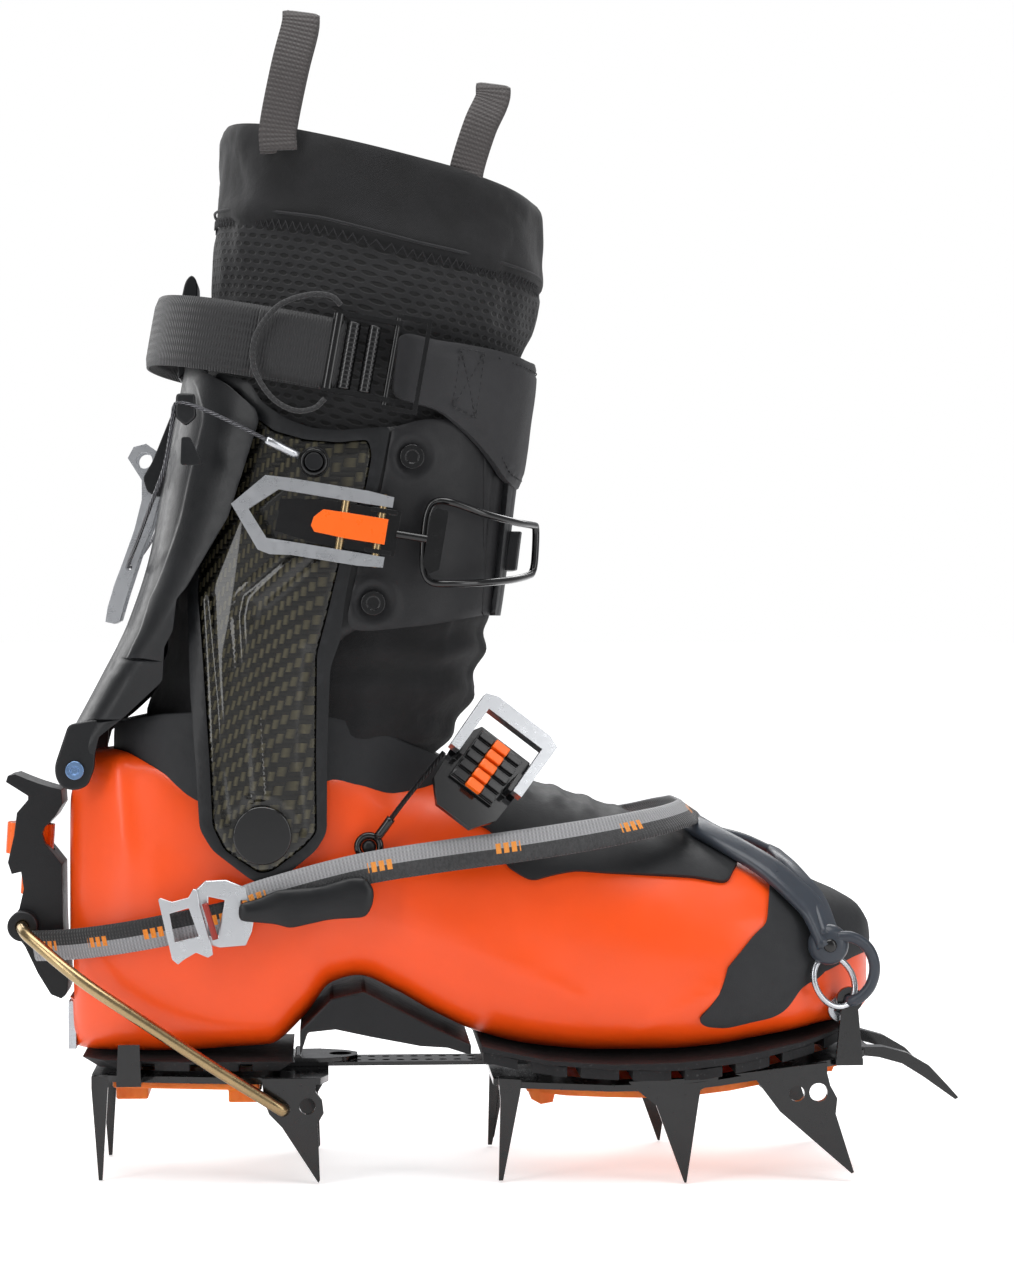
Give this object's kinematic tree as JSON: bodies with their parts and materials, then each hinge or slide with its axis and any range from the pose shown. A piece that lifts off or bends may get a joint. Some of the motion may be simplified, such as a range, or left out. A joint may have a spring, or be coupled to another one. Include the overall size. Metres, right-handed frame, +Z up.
{
  "type": "alpine touring boot",
  "caption": "Ski touring boot with hinged carbon cuff, walk-mode lever, buckles and removable liner, worn with a strap-on crampon.",
  "frame": {"origin": "centre of the heel binding plate's rear face, on the boot's mid-plane", "axes": "+X heel to toe, +Z up, -Y the outer side with the buckles (right boot)"},
  "size_m": [0.3582, 0.1275, 0.4274],
  "materials": {
    "shell_orange": "satin moulded",
    "rubber_dark": "matt tread rubber",
    "rubber_grey": "matt",
    "plastic_black": "satin",
    "plastic_gloss_black": "gloss",
    "plastic_orange": "satin",
    "antiball_amber": "translucent, ribbed",
    "carbon_twill": "gloss lacquered twill weave",
    "steel_black": "gloss black coat",
    "steel_bright": "bright",
    "alu_silver": "satin anodised",
    "brass_wire": "passivated",
    "liner_neoprene": "knit-faced foam",
    "webbing_black": "woven nylon",
    "webbing_grey": "ribbed woven nylon",
    "pad_grey": "rubberised fabric",
    "loop_webbing": "woven tape",
    "cord_black": "braided elastic"
  },
  "bodies": {
    "root": {"lower_shell": "shell_orange", "toe_binding_sockets": "steel_bright", "heel_binding_plate": "steel_bright", "heel_outsole": "rubber_dark", "forefoot_outsole": "rubber_dark", "arch_shank": "plastic_black", "toe_rand": "rubber_grey", "instep_tongue": "rubber_grey", "ankle_collar": "rubber_dark", "liner_foot": "liner_neoprene", "ankle_pivot_rivets": "plastic_gloss_black", "spine_bolts": "steel_bright", "instep_buckle_base": "plastic_gloss_black", "instep_ladder": "plastic_gloss_black", "instep_ladder_teeth": "plastic_orange", "instep_cable": "steel_bright", "crampon_heel_frame": "steel_black", "antiball_heel": "antiball_amber", "crampon_front_frame": "steel_black", "antiball_front": "antiball_amber", "linking_bar": "steel_black", "bar_lock_plate": "steel_black", "crampon_strap_front": "webbing_grey", "strap_keeper_tab": "rubber_grey", "strap_buckle_plate": "alu_silver", "crampon_strap_rear": "webbing_grey"},
    "cuff": {"cuff_frame": "plastic_black", "carbon_side_plates": "carbon_twill", "cuff_flaps": "plastic_black", "cuff_rivets": "plastic_gloss_black", "shin_plate": "plastic_black", "liner_shaft": "liner_neoprene", "pull_loops": "loop_webbing", "cable_posts": "plastic_black", "lock_cables_upper": "steel_bright", "strap_shin_pad": "pad_grey", "strap_webbing": "webbing_black", "strap_buckle_frame": "steel_black", "strap_pull_cord": "cord_black", "cuff_buckle_bracket": "plastic_gloss_black", "cuff_buckle_hinge_pin": "brass_wire", "cuff_buckle_catch": "plastic_black", "cuff_buckle_bail": "steel_black", "cuff_buckle_hook": "steel_bright"},
    "spine": {"rear_spine": "plastic_black", "walk_lever_pin": "steel_bright", "lock_cables_lower": "steel_bright"},
    "walk_lever": {"walk_lever": "alu_silver"},
    "cuff_buckle_lever": {"cuff_buckle_lever": "alu_silver"},
    "cuff_buckle_link": {"cuff_buckle_slider": "plastic_orange", "cuff_buckle_cross_pin": "brass_wire"},
    "strap_hook": {"strap_hook_link": "steel_black"},
    "instep_lever": {"instep_buckle_lever": "alu_silver"},
    "toe_harness": {"toe_harness": "rubber_grey"},
    "strap_cam": {"strap_cam_plate": "alu_silver"},
    "heel_bail": {"heel_wire_bail": "brass_wire", "heel_bail_rollers": "plastic_black"},
    "heel_lever": {"heel_lever": "plastic_black"},
    "adjust_wheel": {"heel_adjust_wheel": "plastic_orange"}
  },
  "joints": [
    {"name": "ankle_pivot", "type": "hinge", "parent": "root", "child": "cuff", "pos_m": [0.073, 0, 0.0736], "axis": [0, 1, 0], "range_deg": [-14, 8], "deforming": ["lock_cables_upper", "strap_webbing", "strap_pull_cord"]},
    {"name": "spine_pivot", "type": "hinge", "parent": "root", "child": "spine", "pos_m": [0.0042, 0, 0.0967], "axis": [0, 1, 0], "range_deg": [-18, 18], "deforming": ["lock_cables_upper", "strap_webbing", "lock_cables_lower", "strap_pull_cord"]},
    {"name": "walk_lever_pivot", "type": "hinge", "parent": "spine", "child": "walk_lever", "pos_m": [0.0326, 0, 0.2057], "axis": [0, 1, 0], "range_deg": [0, 66], "deforming": ["lock_cables_lower"]},
    {"name": "cuff_buckle_pivot", "type": "hinge", "parent": "cuff", "child": "cuff_buckle_lever", "pos_m": [0.11525, -0.059, 0.1839], "axis": [0.161, 0, 0.987], "range_deg": [0, 95]},
    {"name": "cuff_buckle_link_pivot", "type": "hinge", "parent": "cuff_buckle_lever", "child": "cuff_buckle_link", "pos_m": [0.10203, -0.059, 0.18606], "axis": [0.161, 0, 0.987], "range_deg": [-6, 0]},
    {"name": "strap_hook_pivot", "type": "hinge", "parent": "cuff", "child": "strap_hook", "pos_m": [0.11945, -0.0624, 0.2436], "axis": [0.1736, 0, 0.9848], "range_deg": [-70, 0]},
    {"name": "instep_buckle_pivot", "type": "hinge", "parent": "root", "child": "instep_lever", "pos_m": [0.155, -0.0572, 0.0992], "axis": [0.7944, 0, -0.6073], "range_deg": [0, 80]},
    {"name": "toe_harness_pivot", "type": "hinge", "parent": "root", "child": "toe_harness", "pos_m": [0.2896, 0, 0.0112], "axis": [0, 1, 0], "range_deg": [0, 25], "deforming": ["crampon_strap_front"]},
    {"name": "strap_cam_pivot", "type": "hinge", "parent": "root", "child": "strap_cam", "pos_m": [0.0553, -0.0518, 0.033], "axis": [-0.2425, 0, 0.9701], "range_deg": [0, 35]},
    {"name": "heel_bail_pivot", "type": "hinge", "parent": "root", "child": "heel_bail", "pos_m": [0.0806, 0, -0.0279], "axis": [0, 1, 0], "range_deg": [-35, 0], "deforming": ["crampon_strap_rear"]},
    {"name": "heel_lever_pivot", "type": "hinge", "parent": "heel_bail", "child": "heel_lever", "pos_m": [-0.0165, 0, 0.0379], "axis": [0, 1, 0], "range_deg": [-35, 0]},
    {"name": "adjust_wheel_spin", "type": "hinge", "parent": "heel_lever", "child": "adjust_wheel", "pos_m": [-0.0152, 0, 0.0694], "axis": [0.0599, 0, 0.9982], "continuous": true}
  ],
  "couplings": [
    {"joint": "spine_pivot", "follows": "ankle_pivot", "ratio": 1.12},
    {"joint": "heel_lever_pivot", "follows": "heel_bail_pivot", "ratio": 1}
  ]
}
